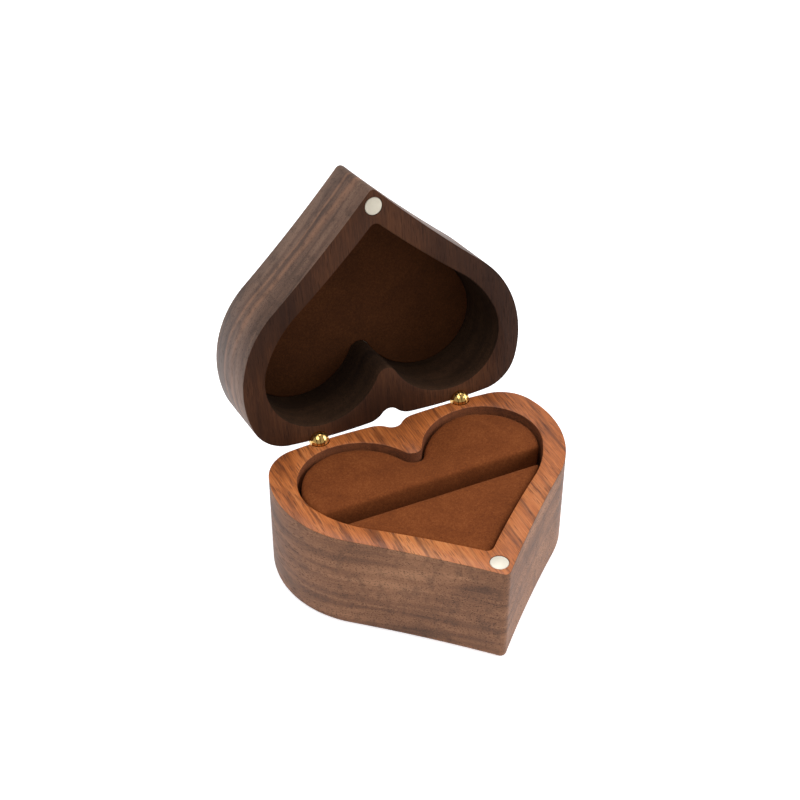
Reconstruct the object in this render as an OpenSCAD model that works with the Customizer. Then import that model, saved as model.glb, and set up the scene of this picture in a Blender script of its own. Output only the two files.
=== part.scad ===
// Heart-shaped walnut ring box with a hinged lid, standing open on its hinge stops.
// Millimetres. The origin is the middle of the base's underside, +Z up, the tip of the heart towards -Y.
// The lid and everything in it are drawn closed, and turned open about the hinge line at the end.

/* [Heart outline] */
// Overall width across the lobes
box_w = 67; // [56:0.5:82]
// Overall length from the tip to the back of the lobes
box_l = 55; // [46:0.5:67]
// Height of the base
base_h = 24; // [20:0.5:30]
// Height of the lid
lid_h = 18; // [16.5:0.5:24]
// Distance of the widest point in front of the back edge
side_back = 14.3; // [12:0.1:17]
// Radius of the side of a lobe at its widest point
side_r = 23.8; // [20:0.1:28]
// Distance of a lobe's rearmost point from the middle
lobe_x = 13.5; // [11.5:0.1:16]
// Radius of the nearly straight back of a lobe
back_r = 130; // [100:1:160]
// Radius where the side of a lobe turns into its back
shoulder_r = 9.2; // [7.5:0.1:11]
// Radius where the back of a lobe turns into the cleft
cheek_r = 5.2; // [4:0.1:6]
// Radius at the bottom of the cleft
cleft_r = 2.4; // [1.8:0.1:3]
// Depth of the cleft between the lobes
cleft_depth = 2.6; // [1.5:0.1:4]
// Radius of the tip
tip_r = 1.3; // [0.8:0.1:2.5]
// Radius of the slightly hollow flank
flank_r = 350; // [200:5:600]

/* [Pocket outline] */
// Wood left at the sides
wall_side = 4.2; // [3:0.1:5.5]
// Wood left behind the lobes
wall_back = 3.3; // [2.8:0.1:4.2]
// Wood left at the cleft
wall_cleft = 10; // [8:0.1:12]
// Wood left at the tip
wall_tip = 7.7; // [6.5:0.1:9.5]
// Distance of the pocket's widest point in front of its back
pocket_side_back = 7.7; // [6.5:0.1:9]
// Radius of the pocket's side
pocket_side_r = 25.3; // [21.5:0.1:30]
// Distance of a pocket lobe's rearmost point from the middle
pocket_lobe_x = 15.6; // [14:0.1:17]
// Radius of the back of a pocket lobe
pocket_back_r = 15.1; // [14.5:0.1:17]
// Radius of the pocket's shoulder
pocket_shoulder_r = 12.5; // [10.5:0.1:14]
// Radius of a pocket lobe next to the cleft
pocket_cheek_r = 13.5; // [11.5:0.1:14.3]
// Radius of the pocket's cleft
pocket_cleft_r = 2.1; // [1.6:0.1:2.6]
// Radius of the pocket's tip
pocket_tip_r = 1.6; // [1:0.1:2.5]
// Radius of the pocket's flank
pocket_flank_r = 270; // [160:5:500]

/* [Wood] */
// Thickness of the base's floor
floor_t = 3; // [2:0.1:4]
// Thickness of the lid's ceiling
ceiling_t = 1.8; // [1.4:0.1:3]
// Gap between the closed lid and the base
seam_gap = 0.1; // [0.05:0.05:0.3]

/* [Cushion] */
// Height of the rear pad's top below the rim
rear_drop = 0.8; // [0.5:0.1:2]
// Height of the front pad's top below the rim
front_drop = 0.6; // [0.4:0.1:2]
// Distance of the front pad's back face from the middle of the box
slot_y = 1.6; // [0:0.1:3]
// Width of the ring slot between the two pads
slot_w = 4.4; // [4.2:0.1:5.2]
// Radius of the rolled edge of the rear pad at the slot
rear_roll_r = 3.6; // [2.5:0.1:4.5]
// Radius of the rolled edge of the front pad at the slot
front_roll_r = 1.2; // [0.8:0.1:2]
// Thickness of the suede
suede_t = 0.6; // [0.4:0.05:0.7]
// Thickness of the board under each pad
board_t = 1.2; // [0.8:0.1:2]
// Gap between a pad and the pocket wall
pad_gap = 0.1; // [0.05:0.05:0.3]

/* [Lid lining] */
// Thickness of the board behind the lid's lining
lining_board_t = 0.5; // [0.4:0.05:0.8]
// Thickness of the lid's suede
lining_suede_t = 0.4; // [0.3:0.05:0.8]
// Gap between the lining and the pocket wall
lining_gap = 0.1; // [0.05:0.05:0.3]

/* [Magnets] */
// Diameter of each magnet
magnet_d = 4; // [3:0.1:5]
// Length of each magnet
magnet_l = 3; // [2:0.1:3.6]
// Distance of the magnets' centre from the tip
magnet_inset = 3.7; // [3.4:0.1:4.2]
// Width of the chamfer on the magnet's face
magnet_chamfer = 0.25; // [0.1:0.05:0.4]

/* [Hinges] */
// Angle at which the lid rests on its hinge stops
open_angle = 99; // [85:1:110]
// Distance of each hinge from the middle
hinge_x = 17.5; // [15.5:0.1:19]
// Distance of the hinge line behind the lobes
hinge_back = 0.2; // [0.15:0.05:0.5]
// Diameter of the ball-shaped knuckle
knuckle_d = 4.5; // [3.9:0.1:5]
// How far the two ends of the knuckle are flattened
knuckle_flat = 0.15; // [0.1:0.05:0.4]
// Gap between the knuckle and the wood
knuckle_gap = 0.15; // [0.1:0.05:0.4]
// Diameter of the hinge pin
pin_d = 0.9; // [0.7:0.05:1.1]
// Running clearance round the hinge pin
pin_clearance = 0.05; // [0.02:0.01:0.09]
// Thickness of the middle leaf
middle_leaf_t = 0.68; // [0.5:0.02:0.8]
// Thickness of each of the lid's two leaves
lid_leaf_t = 0.64; // [0.5:0.02:0.7]
// Side gap between neighbouring leaves
leaf_gap = 0.14; // [0.06:0.01:0.18]
// Slope of the studs, measured from the seam
stud_slope = 66; // [62:1:68]
// Diameter of the ribbed stud
stud_d = 1.9; // [1.6:0.05:2.1]
// Depth of the grooves between the stud's ribs
rib_depth = 0.1; // [0.05:0.01:0.2]
// Number of ribs on each stud
rib_count = 3; // [2:1:4]
// Distance of the stud's end from the hinge pin
stud_reach = 5.6; // [5:0.1:6]
// Thickness of the bar that joins the leaves to the stud
bar_t = 0.7; // [0.5:0.05:1]
// Depth of that bar across the stud
bar_d = 2.2; // [2:0.05:2.4]
// Overlap of the stop tooth with the side of the bar
tooth_h = 0.3; // [0.2:0.05:0.5]
// Width of the stop tooth at its end
tooth_end = 0.35; // [0.2:0.05:0.5]
// Gap left at the stop with the lid fully open
stop_gap = 0.03; // [0.01:0.01:0.06]

/* [Hidden] */

walnut = "#7a4d2f";
dark_walnut = "#4a3128";
suede = "#7d4420";
foam = "#d9cfae";
card = "#9c9182";
nickel = "#e6e0d2";
brass = "#d9a93f";
big = 200;                                // larger than any cut needs to be
arc_fn = 96;
arc_step = 5;                             // degrees between the points of an outline's arc, at most
arc_chord = 4;                            // and their distance, at most
roll_steps = 6;

// Outlines: [half width, back, tip, side back, side r, lobe x, back r, shoulder r, cheek r,
//            cleft r, cleft y, tip r, flank r]
back_y = box_l / 2;
tip_y = -box_l / 2;
outer = [box_w / 2, back_y, tip_y, side_back, side_r, lobe_x, back_r, shoulder_r, cheek_r,
    cleft_r, back_y - cleft_depth, tip_r, flank_r];
pocket = [box_w / 2 - wall_side, back_y - wall_back, tip_y + wall_tip, pocket_side_back, pocket_side_r,
    pocket_lobe_x, pocket_back_r, pocket_shoulder_r, pocket_cheek_r,
    pocket_cleft_r, back_y - cleft_depth - wall_cleft, pocket_tip_r, pocket_flank_r];

// Heights, with the lid closed
lid_z = base_h + seam_gap;
lid_top = lid_z + lid_h;
ceiling_z = lid_top - ceiling_t;
rear_top = base_h - rear_drop;
front_top = base_h - front_drop;

// Hinge
knuckle_r = knuckle_d / 2;
pin_r = pin_d / 2;
stud_r = stud_d / 2;
notch_r = knuckle_r + knuckle_gap;
hinge_y = back_y + hinge_back;
hinge_z = base_h + seam_gap / 2;
bar_start = knuckle_r + knuckle_gap / 2;
bar_end = bar_start + bar_t;
lid_leaf_x = middle_leaf_t / 2 + leaf_gap;          // inner face of a lid leaf
cheek_x = lid_leaf_x + lid_leaf_t + leaf_gap;       // inner face of a base cheek
fork_half_w = knuckle_r - knuckle_flat;
fork_bar_half_w = cheek_x + (knuckle_r - cheek_x) / 2;
slot_half_w = fork_bar_half_w + knuckle_gap;
tongue_half_w = lid_leaf_x + lid_leaf_t;
pin_half_l = fork_half_w;
stop_turn = 2 * stud_slope + open_angle - 360;      // from the fork's direction to the tongue's, fully open
magnet_y = tip_y + magnet_inset;
slot_back_y = slot_y + slot_w;

// ---------- outline geometry ----------

function unit(v) = v / norm(v);

// The point at distance da from a and db from b, on the left of the way from a to b for side 1
function meet(a, da, b, db, side) =
    let (d = norm(b - a), u = (b - a) / d,
         along = (d * d + da * da - db * db) / (2 * d),
         across = sqrt(max(da * da - along * along, 0)))
    a + along * u + side * across * [-u[1], u[0]];

// The angle of b as seen from c
function bearing(c, b) = atan2(b[1] - c[1], b[0] - c[0]);

// Points on the arc about c from a up to but not including b: anticlockwise for turn 1, clockwise for -1
function arc(c, r, a, b, turn) =
    let (start = bearing(c, a),
         sweep = turn * ((turn * (bearing(c, b) - start) + 720) % 360),
         steps = max(2, ceil(abs(sweep) / arc_step), ceil(abs(sweep) * PI / 180 * r / arc_chord)))
    [for (i = [0 : steps - 1]) let (angle = start + sweep * i / steps) c + r * [cos(angle), sin(angle)]];

function heart_tip(o) = [0, o[2] + o[11]];
function heart_side(o) = [o[0] - o[4], o[1] - o[3]];
function heart_back(o) = [o[5], o[1] - o[6]];
function heart_cleft(o) = [0, o[10] + o[9]];
function heart_shoulder(o) = meet(heart_side(o), o[4] - o[7], heart_back(o), o[6] - o[7], 1);
function heart_flank(o) = meet(heart_tip(o), o[12] + o[11], heart_side(o), o[12] + o[4], -1);
function heart_cheek(o) = meet(heart_back(o), o[6] - o[8], heart_cleft(o), o[9] + o[8], -1);

// The right half of a heart of tangent arcs, from the tip round to just short of the cleft.
// grow moves the whole outline outwards, or inwards where it is negative.
function half_heart(o, grow) =
    let (tip = heart_tip(o), flank = heart_flank(o), side = heart_side(o), shoulder = heart_shoulder(o),
         back = heart_back(o), cheek = heart_cheek(o), cleft = heart_cleft(o),
         p_tip = tip - [0, o[11] + grow],
         p_tip_flank = tip + unit(flank - tip) * (o[11] + grow),
         p_flank_side = side + unit(flank - side) * (o[4] + grow),
         p_side_shoulder = side + unit(shoulder - side) * (o[4] + grow),
         p_shoulder_back = back + unit(shoulder - back) * (o[6] + grow),
         p_back_cheek = back + unit(cheek - back) * (o[6] + grow),
         p_cheek_cleft = cheek + unit(cleft - cheek) * (o[8] + grow),
         p_cleft = cleft - [0, o[9] - grow])
    concat(
        arc(tip, o[11] + grow, p_tip, p_tip_flank, 1),
        arc(flank, o[12] - grow, p_tip_flank, p_flank_side, -1),
        arc(side, o[4] + grow, p_flank_side, p_side_shoulder, 1),
        arc(shoulder, o[7] + grow, p_side_shoulder, p_shoulder_back, 1),
        arc(back, o[6] + grow, p_shoulder_back, p_back_cheek, 1),
        arc(cheek, o[8] + grow, p_back_cheek, p_cheek_cleft, 1),
        arc(cleft, o[9] - grow, p_cheek_cleft, p_cleft, -1));

module heart(o, grow = 0) {
    right = half_heart(o, grow);
    left = [for (i = [len(right) - 1 : -1 : 1]) [-right[i][0], right[i][1]]];
    polygon(concat(right, [[0, o[10] + grow]], left));
}

// ---------- placing ----------

// Turns what is drawn closed to the open rest position
module opened() {
    translate([0, hinge_y, hinge_z]) rotate([-open_angle, 0, 0]) translate([0, -hinge_y, -hinge_z]) children();
}

// Puts a hinge piece, drawn at the origin with its stud towards -Z, at the hinge on the given side
module at_hinge(side, up = false) {
    translate([side * hinge_x, hinge_y, hinge_z])
        rotate([up ? 180 + 90 - stud_slope : stud_slope - 90, 0, 0]) children();
}

// ---------- wood ----------

module wood_half(bottom, height) {
    translate([0, 0, bottom]) linear_extrude(height) heart(outer);
}

module pocket_cut(bottom, height) {
    translate([0, 0, bottom]) linear_extrude(height) heart(pocket);
}

module magnet_hole(bottom) {
    translate([0, magnet_y, bottom]) cylinder(d = magnet_d, h = magnet_l, $fn = arc_fn);
}

// The seat of one hinge half: a round hollow for the knuckle, a slot for the bar and a bore for the stud
module hinge_seat(side, up) {
    translate([side * hinge_x, hinge_y, hinge_z]) sphere(r = notch_r, $fn = arc_fn);
    at_hinge(side, up) {
        translate([-slot_half_w, -bar_d / 2 - knuckle_gap, -bar_end])
            cube([2 * slot_half_w, bar_d + 2 * knuckle_gap, bar_end]);
        translate([0, 0, -stud_reach]) cylinder(d = stud_d, h = stud_reach, $fn = arc_fn);
    }
}

module base_shell() color(walnut) difference() {
    wood_half(0, base_h);
    pocket_cut(floor_t, base_h);
    magnet_hole(base_h - magnet_l);
    for (side = [-1, 1]) hinge_seat(side, false);
}

module lid_shell() color(dark_walnut) opened() difference() {
    wood_half(lid_z, lid_h);
    pocket_cut(lid_z - 1, ceiling_z - lid_z + 1);
    magnet_hole(lid_z);
    for (side = [-1, 1]) hinge_seat(side, true);
}

// ---------- magnets ----------

module magnet() {
    cylinder(d = magnet_d, h = magnet_l - magnet_chamfer, $fn = arc_fn);
    translate([0, 0, magnet_l - magnet_chamfer])
        cylinder(d1 = magnet_d, d2 = magnet_d - 2 * magnet_chamfer, h = magnet_chamfer, $fn = arc_fn);
}

module base_magnet() color(nickel) translate([0, magnet_y, base_h - magnet_l]) magnet();

module lid_magnet() color(nickel) opened() translate([0, magnet_y, lid_z + magnet_l]) mirror([0, 0, 1]) magnet();

// ---------- cushion ----------

// The part of the pocket's outline that a pad fills, drawn inside its skin by inset.
// face is the slot face; away is 1 where the pad lies behind it and -1 where it lies in front.
module pad_outline(face, away, inset) {
    intersection() {
        heart(pocket, -pad_gap - inset);
        translate([-big / 2, away > 0 ? face + inset : face - inset - big]) square(big);
    }
}

// The rolled edge in side view, from the slot face up to the top: [y, z] points
function rolled_edge(face, away, top, roll) =
    [for (i = [0 : roll_steps]) let (turn = 90 * i / roll_steps)
        [face + away * roll * (1 - cos(turn)), top - roll * (1 - sin(turn))]];

// What the rolled edge takes off the corner between the slot face and the top
module roll_cut(face, away, top, roll) {
    rotate([90, 0, 90]) translate([0, 0, -big / 2]) linear_extrude(big)
        polygon(concat(rolled_edge(face, away, top, roll),
            [[face + away * roll, top + 1], [face - away, top + 1], [face - away, top - roll]]));
}

module pad_block(face, away, bottom, top, roll, inset) {
    difference() {
        translate([0, 0, bottom]) linear_extrude(top - inset - bottom) pad_outline(face, away, inset);
        roll_cut(face + away * inset, away, top - inset, roll - inset);
    }
}

// The suede over a pad: round its sides and over its top, open below
module pad_cover(face, away, top, roll) {
    difference() {
        pad_block(face, away, floor_t, top, roll, 0);
        pad_block(face, away, floor_t - 1, top, roll, suede_t);
    }
}

module pad_board(face, away) {
    translate([0, 0, floor_t]) linear_extrude(board_t) pad_outline(face, away, suede_t);
}

module rear_board() color(card) pad_board(slot_back_y, 1);

module rear_foam() color(foam)
    pad_block(slot_back_y, 1, floor_t + board_t, rear_top, rear_roll_r, suede_t);

module rear_cover() color(suede) pad_cover(slot_back_y, 1, rear_top, rear_roll_r);

module front_board() color(card) pad_board(slot_y, -1);

module front_foam() color(foam)
    pad_block(slot_y, -1, floor_t + board_t, front_top, front_roll_r, suede_t);

module front_cover() color(suede) pad_cover(slot_y, -1, front_top, front_roll_r);

// ---------- lid lining ----------

module lining_board() color(card) opened()
    translate([0, 0, ceiling_z - lining_board_t]) linear_extrude(lining_board_t) heart(pocket, -lining_gap);

module lining_suede() color(suede) opened()
    translate([0, 0, ceiling_z - lining_board_t - lining_suede_t])
        linear_extrude(lining_suede_t) heart(pocket, -lining_gap);

// ---------- hinges: knuckle at the origin, pin along X, stud towards -Z ----------

// The knuckle ball, half_w to each side, with its neck and the bar below it, bar_half_w to each side
module knuckle(half_w, bar_half_w) {
    intersection() {
        sphere(r = knuckle_r, $fn = arc_fn);
        translate([-half_w, -big / 2, -bar_end]) cube([2 * half_w, big, big]);
    }
    translate([-bar_half_w, -bar_d / 2, -bar_end]) cube([2 * bar_half_w, bar_d, bar_end - pin_r]);
}

// The ribbed stud that is glued into the wood
module stud() {
    pitch = (stud_reach - bar_end) / rib_count;
    ribs = [for (i = [0 : rib_count - 1]) let (z = -stud_reach + i * pitch)
        each [[stud_r, z], [stud_r, z + pitch / 2], [stud_r - rib_depth, z + pitch / 2],
            [stud_r - rib_depth, z + pitch]]];
    rotate_extrude($fn = arc_fn) polygon(concat([[0, -stud_reach]], ribs, [[0, -bar_end]]));
}

// The room for another piece's leaves, from x1 to x2 and everywhere above the bar
module leaf_slot(x1, x2) {
    translate([x1, -big / 2, -bar_start]) cube([x2 - x1, big, big]);
}

module pin_bore(r) rotate([0, 90, 0]) cylinder(r = r, h = big, center = true, $fn = arc_fn);

module hinge_fork(side) color(brass) at_hinge(side) {
    difference() {
        knuckle(fork_half_w, fork_bar_half_w);
        leaf_slot(-cheek_x, -middle_leaf_t / 2);
        leaf_slot(middle_leaf_t / 2, cheek_x);
        pin_bore(pin_r);
    }
    stud();
}

// The tooth that meets the side of the fork's bar at the open stop
module stop_tooth() {
    near = bar_d / 2 + stop_gap;
    low = -bar_start - tooth_h;
    rotate([stop_turn, 0, 0]) rotate([90, 0, 90]) translate([0, 0, -tongue_half_w])
        linear_extrude(2 * tongue_half_w)
            polygon([[near, -pin_r], [near, low], [near + tooth_end, low], [knuckle_r, -near],
                [near + tooth_end, -pin_r]]);
}

module hinge_tongue(side) color(brass) opened() at_hinge(side, true) {
    difference() {
        union() {
            knuckle(tongue_half_w, tongue_half_w);
            stop_tooth();
        }
        leaf_slot(-lid_leaf_x, lid_leaf_x);
        pin_bore(pin_r + pin_clearance);
    }
    stud();
}

module hinge_pin(side) color(brass) translate([side * hinge_x, hinge_y, hinge_z]) rotate([0, 90, 0])
    cylinder(r = pin_r, h = 2 * pin_half_l, center = true, $fn = arc_fn);

module left_hinge_fork() hinge_fork(-1);
module left_hinge_tongue() hinge_tongue(-1);
module left_hinge_pin() hinge_pin(-1);
module right_hinge_fork() hinge_fork(1);
module right_hinge_tongue() hinge_tongue(1);
module right_hinge_pin() hinge_pin(1);

base_shell();
base_magnet();
rear_board();
rear_foam();
rear_cover();
front_board();
front_foam();
front_cover();
lid_shell();
lid_magnet();
lining_board();
lining_suede();
left_hinge_fork();
left_hinge_tongue();
left_hinge_pin();
right_hinge_fork();
right_hinge_tongue();
right_hinge_pin();
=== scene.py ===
"""Heart-shaped walnut ring box, open on its hinge stops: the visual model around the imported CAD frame.

Sizes in the classes are millimetres; every finished mesh is scaled to metres.
"""

import logging
import math
from dataclasses import dataclass
from enum import Enum
from typing import Iterable, Optional, Sequence, Union

import bmesh
import bpy
from mathutils import Matrix, Vector


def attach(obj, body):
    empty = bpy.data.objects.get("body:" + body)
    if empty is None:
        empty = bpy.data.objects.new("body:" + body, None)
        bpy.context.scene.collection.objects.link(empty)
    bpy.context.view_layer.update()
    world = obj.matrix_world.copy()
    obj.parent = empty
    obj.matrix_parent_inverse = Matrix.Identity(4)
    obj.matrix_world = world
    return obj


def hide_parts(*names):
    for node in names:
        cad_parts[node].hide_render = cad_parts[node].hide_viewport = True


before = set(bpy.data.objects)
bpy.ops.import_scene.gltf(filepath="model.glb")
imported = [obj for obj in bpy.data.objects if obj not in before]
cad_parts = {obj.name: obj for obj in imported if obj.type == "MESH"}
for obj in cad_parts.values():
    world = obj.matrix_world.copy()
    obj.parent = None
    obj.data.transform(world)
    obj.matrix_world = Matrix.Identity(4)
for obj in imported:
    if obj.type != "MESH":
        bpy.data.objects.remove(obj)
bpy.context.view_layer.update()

LOG = logging.getLogger("ring_box")
MM = 0.001
# Heights closer than this many millimetres count as one, and a face is a wall below this much upward lean.
NEAR = 0.01
WALL = 0.2
MAGNET_Y = -23.8
Colour = tuple[float, float, float]
Shape, Edge, Vert, Face = bmesh.types.BMesh, bmesh.types.BMEdge, bmesh.types.BMVert, bmesh.types.BMFace
Socket = bpy.types.NodeSocket


class Body(str, Enum):
    """The two bodies that pieces ride on."""

    BASE = "base"
    LID = "lid"


class Slot(str, Enum):
    """The record's material slots that the visible pieces use."""

    WALNUT = "walnut"
    # The lid's walnut: its mating face and pocket palettes are darkened as painted shade.
    LID_WALNUT_WITH_PAINTED_SHADE = "dark_walnut"
    NICKEL = "nickel"
    BRASS = "brass"
    SUEDE = "suede"
    LINING_SUEDE = "lining_suede"


class Cut(str, Enum):
    """What a boolean does with its tool."""

    TAKE = "DIFFERENCE"
    ADD = "UNION"
    KEEP = "INTERSECT"


class WoodFace(int, Enum):
    """The material slots of a wood half."""

    SIDE = 0
    RIM = 1
    POCKET = 2


# ---------- placing ----------


@dataclass(frozen=True)
class HingeLine:
    """The line that the lid turns about, and the hinge sizes that the wood and the brass share."""

    y: float = 27.7
    z: float = 24.05
    open_angle: float = 99.0
    x: float = 17.5
    stud_slope: float = 66.0
    stud_r: float = 0.95
    stud_reach: float = 5.6
    knuckle_r: float = 2.25
    knuckle_gap: float = 0.15
    bar_t: float = 0.7
    bar_d: float = 2.2

    @property
    def bar_start(self) -> float:
        """How far from the axis the hollow under the ball begins."""
        return self.knuckle_r + self.knuckle_gap / 2

    @property
    def bar_end(self) -> float:
        """How far from the axis the bar reaches."""
        return self.bar_start + self.bar_t

    def opened(self) -> Matrix:
        """Returns the turn from the closed lid to the open one, in millimetres."""
        pivot = Matrix.Translation((0, self.y, self.z))
        return pivot @ Matrix.Rotation(math.radians(-self.open_angle), 4, "X") @ pivot.inverted()

    def closing(self) -> tuple[Vector, float]:
        """Returns the place and the turn that a Mapping node needs to close the lid again."""
        back = self.opened().inverted()
        return back.translation, math.radians(self.open_angle)

    def seat(self, side: int, up: bool) -> Matrix:
        """The place of a hinge half that is drawn at the origin with its stud towards -Z.

        Args:
            side: 1 for the right hinge and -1 for the left.
            up: True for the lid's half, drawn closed.

        Returns:
            The matrix from the drawn half to the closed box.
        """
        turn = 270 - self.stud_slope if up else self.stud_slope - 90
        axis = Matrix.Translation((side * self.x, self.y, self.z))
        return axis @ Matrix.Rotation(math.radians(turn), 4, "X")


HINGE = HingeLine()


# ---------- meshes ----------


def outwards(bm: Shape) -> None:
    """Points the faces outwards."""
    bmesh.ops.recalc_face_normals(bm, faces=bm.faces[:])


def finish_mesh(
    bm: Shape,
    name: str,
    place: Matrix = Matrix.Identity(4),
    smooth_angle: float = 34.0,
) -> bpy.types.Object:
    """Turns a bmesh in millimetres into a smooth object in metres that sits at the origin.

    Args:
        bm: the shape; it is freed.
        name: the object's name.
        place: a last move, in millimetres.
        smooth_angle: edges sharper than this stay sharp, in degrees.

    Returns:
        The linked object.
    """
    bm.transform(Matrix.Scale(MM, 4) @ place)
    outwards(bm)
    for face in bm.faces:
        face.smooth = True
    mesh = bpy.data.meshes.new(name)
    bm.to_mesh(mesh)
    bm.free()
    mesh.set_sharp_from_angle(angle=math.radians(smooth_angle))
    obj = bpy.data.objects.new(name, mesh)
    bpy.context.scene.collection.objects.link(obj)
    return obj


def evaluated_bmesh(obj: bpy.types.Object) -> Shape:
    """Returns the object's mesh with its modifiers applied, and removes the object."""
    bpy.context.view_layer.update()
    graph = bpy.context.evaluated_depsgraph_get()
    mesh = bpy.data.meshes.new_from_object(obj.evaluated_get(graph), depsgraph=graph)
    bm = bmesh.new()
    bm.from_mesh(mesh)
    bpy.data.meshes.remove(mesh)
    bpy.data.objects.remove(obj)
    return bm


def carve(bm: Shape, tools: Iterable[tuple[Cut, Shape]]) -> Shape:
    """Cuts, joins or trims a shape with others, one after the other.

    Args:
        bm: the shape, in millimetres.
        tools: what is done and with which shape.

    Returns:
        The carved shape.
    """
    target = finish_mesh(bm, "carved")
    helpers = []
    for cut, tool in tools:
        helper = finish_mesh(tool, "tool")
        helper.hide_render = True
        modifier = target.modifiers.new("carve", "BOOLEAN")
        modifier.operation, modifier.solver, modifier.object = cut.value, "EXACT", helper
        helpers.append(helper)
    result = evaluated_bmesh(target)
    for helper in helpers:
        bpy.data.objects.remove(helper)
    bmesh.ops.remove_doubles(result, verts=result.verts[:], dist=2e-7)
    result.transform(Matrix.Scale(1 / MM, 4))
    return result


def block(low: Sequence[float], high: Sequence[float]) -> Shape:
    """Returns a box between two corners."""
    bm = bmesh.new()
    middle = [(a + b) / 2 for a, b in zip(low, high)]
    size = [b - a for a, b in zip(low, high)]
    bmesh.ops.create_cube(bm, size=1, matrix=Matrix.Translation(middle) @ Matrix.Diagonal((*size, 1)))
    return bm


def ball(radius: float) -> Shape:
    """Returns a sphere whose poles lie on the X axis."""
    bm = bmesh.new()
    poles = Matrix.Rotation(math.radians(90), 4, "Y")
    bmesh.ops.create_uvsphere(bm, u_segments=64, v_segments=40, radius=radius, matrix=poles)
    return bm


def lathe(profile: Sequence[tuple[float, float]], steps: int = 64) -> Shape:
    """Spins a side view of (radius, height) points about the Z axis.

    Args:
        profile: the points, from the bottom of the axis to its top.
        steps: the number of faces round.

    Returns:
        The closed shape.
    """
    bm = bmesh.new()
    verts = [bm.verts.new((r, 0, z)) for r, z in profile]
    edges = [bm.edges.new(pair) for pair in zip(verts, verts[1:])]
    bmesh.ops.spin(bm, geom=verts + edges, cent=(0, 0, 0), axis=(0, 0, 1), angle=math.tau, steps=steps,
                   use_merge=True)
    bmesh.ops.remove_doubles(bm, verts=bm.verts[:], dist=1e-4)
    outwards(bm)
    return bm


def raised(bm: Shape, grown: dict, move: Sequence[float]) -> None:
    """Moves the new points of an extrusion.

    Args:
        bm: the mesh.
        grown: what the extrude operator returned.
        move: how far the points go.
    """
    moved = [item for item in grown["geom"] if isinstance(item, Vert)]
    bmesh.ops.translate(bm, verts=moved, vec=move)


def bevel(bm: Shape, edges: list[Edge], radius: float, segments: int,
          clamp: bool = False) -> None:
    """Rounds edges.

    Args:
        bm: the mesh.
        edges: the edges.
        radius: how far the rounding reaches from each edge.
        segments: the number of faces across it.
        clamp: True to keep roundings from running into each other.
    """
    bmesh.ops.bevel(bm, geom=edges, offset=radius, offset_type="OFFSET", segments=segments,
                    profile=0.5, affect="EDGES", material=-1, clamp_overlap=clamp)


def level(edge: Edge, z: float) -> bool:
    """Returns True for an edge that lies at a height."""
    return all(abs(vert.co.z - z) < NEAR for vert in edge.verts)


def meet(a: Vector, da: float, b: Vector, db: float, side: int) -> Vector:
    """Returns the point at distance da from a and db from b, left of the way from a to b for side 1."""
    apart = (b - a).length
    unit = (b - a) / apart
    along = (apart * apart + da * da - db * db) / (2 * apart)
    across = math.sqrt(max(da * da - along * along, 0))
    return a + along * unit + side * across * Vector((-unit.y, unit.x))


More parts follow.
